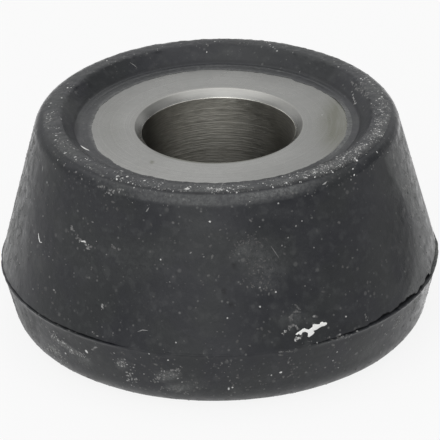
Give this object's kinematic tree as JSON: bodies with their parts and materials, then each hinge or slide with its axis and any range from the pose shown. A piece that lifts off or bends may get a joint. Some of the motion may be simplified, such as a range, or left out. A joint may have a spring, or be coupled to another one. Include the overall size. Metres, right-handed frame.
{
  "type": "rubber buffer",
  "caption": "Tapered round rubber buffer bonded around a thick steel sleeve, clamped by a bolt through its bore to carry and cushion a load.",
  "frame": {"origin": "middle of the wide base, on the bore axis, in the plane that the base stands on", "axes": "+Z along the bore axis, from the wide base towards the narrow end with the lip"},
  "size_m": [0.0603, 0.0602, 0.0312],
  "materials": {
    "rubber": "moulded black rubber, matt, with talc dust and a flash line",
    "steel": "turned bare steel, dull"
  },
  "bodies": {
    "root": {"inner_sleeve": "steel", "rubber_body": "rubber"}
  },
  "joints": []
}
